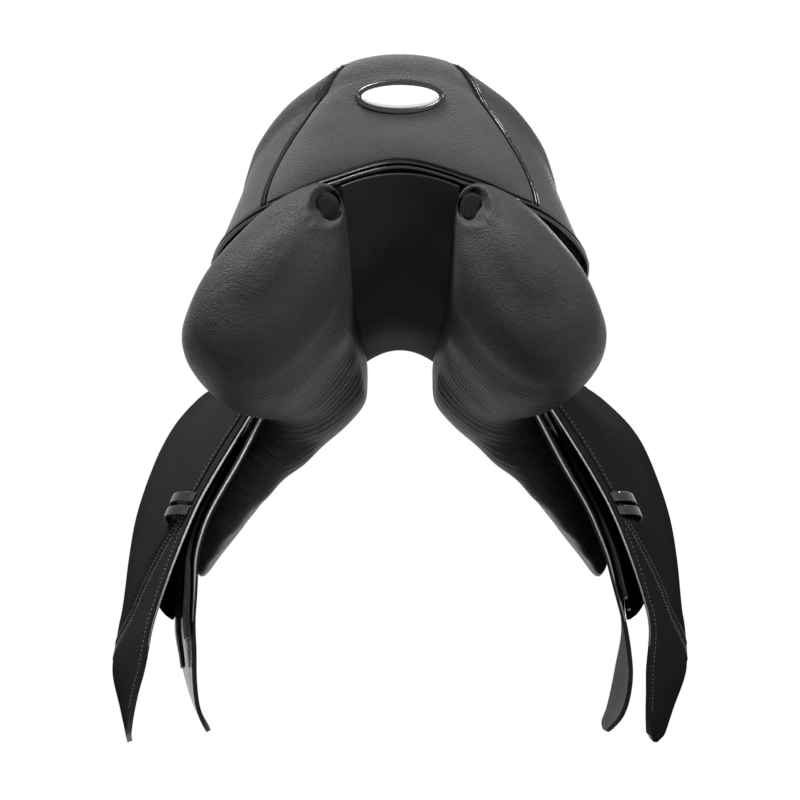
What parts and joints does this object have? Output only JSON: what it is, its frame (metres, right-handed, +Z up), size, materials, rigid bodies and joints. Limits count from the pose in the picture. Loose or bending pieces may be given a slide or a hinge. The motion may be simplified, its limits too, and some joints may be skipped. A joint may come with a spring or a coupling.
{
  "type": "dressage saddle",
  "caption": "Deep-seated dressage saddle with a high cantle, flocked panels either side of a wide channel, long flaps that lift, girth straps and stirrup bars.",
  "frame": {"origin": "under the waist of the saddle, between the two panels, where the ridge of a saddle rack comes", "axes": "+X to the right as seen from behind, +Y forwards to the pommel, +Z up"},
  "size_m": [0.5726, 0.4789, 0.5917],
  "materials": {
    "seat_leather": "smooth black leather, satin",
    "panel_leather": "soft grained black leather, satin",
    "flap_leather": "firm black leather, satin, with bare cut edges",
    "patent_leather": "black patent leather, glossy",
    "lining_leather": "matt black leather",
    "felt": "dark felt",
    "foam": "seat foam",
    "webbing": "woven webbing",
    "beech": "laminated beech",
    "steel": "satin steel",
    "plate": "pale satin plate, bare"
  },
  "bodies": {
    "saddle": {"tree": "beech", "head_plate": "steel", "seat_web": "webbing", "girth_web_front": "webbing", "girth_web_rear": "webbing", "seat_foam": "foam", "seat_cover": "seat_leather", "cantle_back": "seat_leather", "edge_welt": "patent_leather", "rear_facing": "lining_leather", "badge_rim": "patent_leather", "badge_plate": "plate", "gullet_lining": "lining_leather", "spring_steel_left": "steel", "back_welt_left": "patent_leather", "panel_left": "panel_leather", "felt_plug_left": "felt", "sweat_flap_left": "flap_leather", "knee_block_left": "flap_leather", "flap_top_left": "flap_leather", "stirrup_bar_left": "steel", "dee_staple_left": "steel", "spring_steel_right": "steel", "back_welt_right": "patent_leather", "panel_right": "panel_leather", "felt_plug_right": "felt", "sweat_flap_right": "flap_leather", "knee_block_right": "flap_leather", "flap_top_right": "flap_leather", "stirrup_bar_right": "steel", "dee_staple_right": "steel"},
    "flap_body_left": {"flap_left": "flap_leather", "flap_grip_left": "flap_leather", "keeper_left": "flap_leather", "keeper_rivet_upper_left": "steel", "keeper_rivet_lower_left": "steel"},
    "skirt_body_left": {"skirt_left": "flap_leather"},
    "billet_front_body_left": {"billet_front_left": "flap_leather"},
    "billet_rear_body_left": {"billet_rear_left": "flap_leather"},
    "catch_body_left": {"safety_catch_left": "steel"},
    "dee_body_left": {"dee_ring_left": "steel"},
    "flap_body_right": {"flap_right": "flap_leather", "flap_grip_right": "flap_leather", "keeper_right": "flap_leather", "keeper_rivet_upper_right": "steel", "keeper_rivet_lower_right": "steel"},
    "skirt_body_right": {"skirt_right": "flap_leather"},
    "billet_front_body_right": {"billet_front_right": "flap_leather"},
    "billet_rear_body_right": {"billet_rear_right": "flap_leather"},
    "catch_body_right": {"safety_catch_right": "steel"},
    "dee_body_right": {"dee_ring_right": "steel"}
  },
  "joints": [
    {"name": "flap_lift_left", "type": "hinge", "parent": "saddle", "child": "flap_body_left", "pos_m": [-0.1327, 0, 0.0312], "axis": [-0.2208, 0.9599, 0.1728], "range_deg": [0, 70]},
    {"name": "skirt_lift_left", "type": "hinge", "parent": "saddle", "child": "skirt_body_left", "pos_m": [-0.11546, 0, 0.06345], "axis": [0.2062, 0.9458, 0.2508], "range_deg": [0, 60]},
    {"name": "billet_front_swing_left", "type": "hinge", "parent": "saddle", "child": "billet_front_body_left", "pos_m": [-0.12847, 0.05997, 0.02224], "axis": [-0.9814, -0.1919, 0], "range_deg": [-5, 5]},
    {"name": "billet_rear_swing_left", "type": "hinge", "parent": "saddle", "child": "billet_rear_body_left", "pos_m": [-0.11664, -0.01833, 0.02172], "axis": [-0.9743, -0.2252, 0], "range_deg": [-5, 5]},
    {"name": "catch_turn_left", "type": "hinge", "parent": "saddle", "child": "catch_body_left", "pos_m": [-0.109, 0.0492, 0.06048], "axis": [-1, 0, 0], "range_deg": [0, 30]},
    {"name": "dee_swing_left", "type": "hinge", "parent": "saddle", "child": "dee_body_left", "pos_m": [-0.05944, 0.18968, 0.12776], "axis": [0.5765, 0.8171, 0], "range_deg": [0, 90]},
    {"name": "flap_lift_right", "type": "hinge", "parent": "saddle", "child": "flap_body_right", "pos_m": [0.1327, 0, 0.0312], "axis": [-0.2208, -0.9599, -0.1728], "range_deg": [0, 70]},
    {"name": "skirt_lift_right", "type": "hinge", "parent": "saddle", "child": "skirt_body_right", "pos_m": [0.11546, 0, 0.06345], "axis": [0.2062, -0.9458, -0.2508], "range_deg": [0, 60]},
    {"name": "billet_front_swing_right", "type": "hinge", "parent": "saddle", "child": "billet_front_body_right", "pos_m": [0.12842, 0.0596, 0.02225], "axis": [0.9761, -0.2171, 0], "range_deg": [-5, 5]},
    {"name": "billet_rear_swing_right", "type": "hinge", "parent": "saddle", "child": "billet_rear_body_right", "pos_m": [0.11661, -0.01851, 0.02173], "axis": [0.9704, -0.2416, 0], "range_deg": [-5, 5]},
    {"name": "catch_turn_right", "type": "hinge", "parent": "saddle", "child": "catch_body_right", "pos_m": [0.109, 0.0492, 0.06048], "axis": [-1, 0, 0], "range_deg": [0, 30]},
    {"name": "dee_swing_right", "type": "hinge", "parent": "saddle", "child": "dee_body_right", "pos_m": [0.05944, 0.18968, 0.12776], "axis": [0.5765, -0.8171, 0], "range_deg": [0, 90]}
  ]
}
